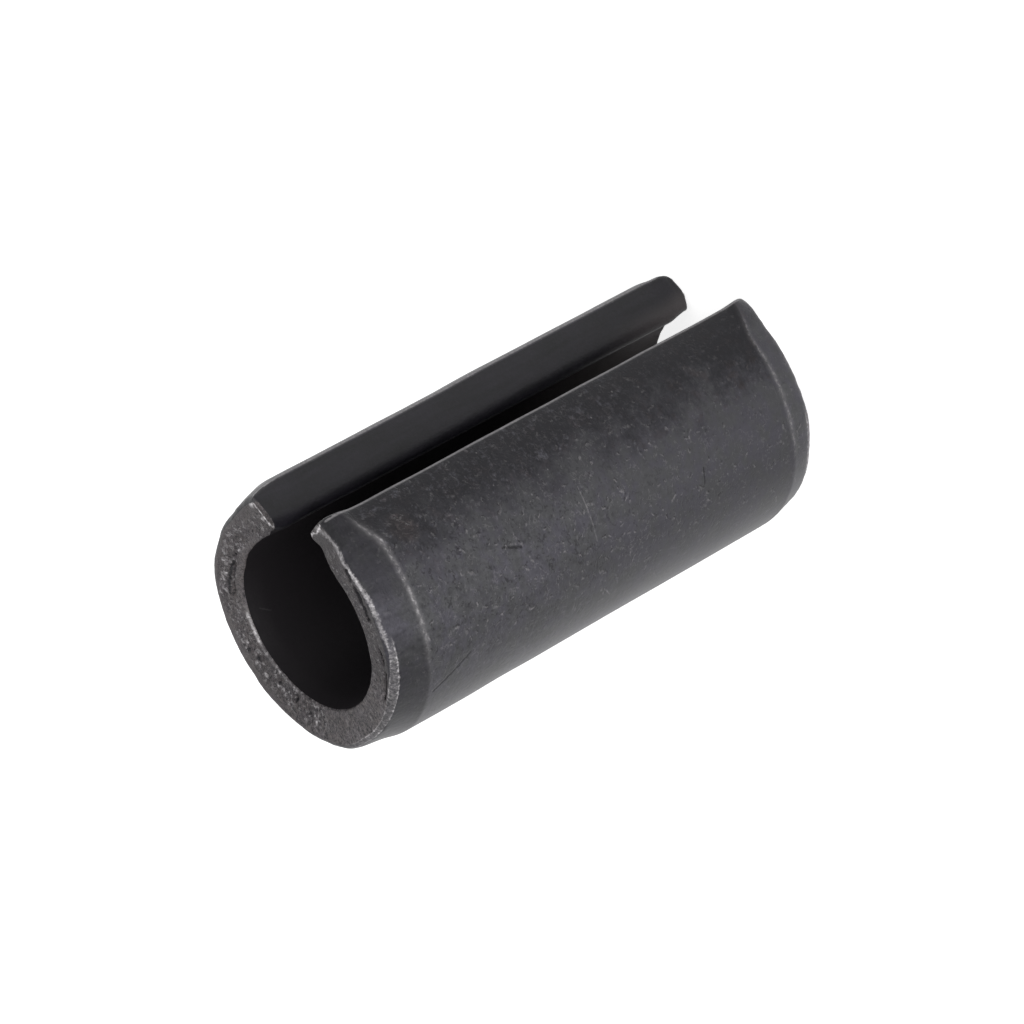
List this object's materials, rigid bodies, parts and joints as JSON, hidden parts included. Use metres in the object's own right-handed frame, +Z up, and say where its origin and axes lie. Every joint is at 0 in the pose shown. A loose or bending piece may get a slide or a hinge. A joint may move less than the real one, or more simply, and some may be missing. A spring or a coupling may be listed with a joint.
{
  "type": "slotted spring pin",
  "caption": "Heavy slotted spring pin: steel strip rolled into a C-shaped tube, with an open slot along its side and a short tapered lead-in at each end.",
  "frame": {"origin": "on the pin's axis, in the plane of its lower end face", "axes": "+Z up along the pin's axis, -Y out through the middle of the slot"},
  "size_m": [0.0088, 0.0084, 0.018],
  "materials": {
    "black_oxide_steel": "oiled black oxide on spring steel, satin, with worn bright edges and bare sheared ends"
  },
  "bodies": {
    "root": {"slotted_spring_pin": "black_oxide_steel"}
  },
  "joints": []
}
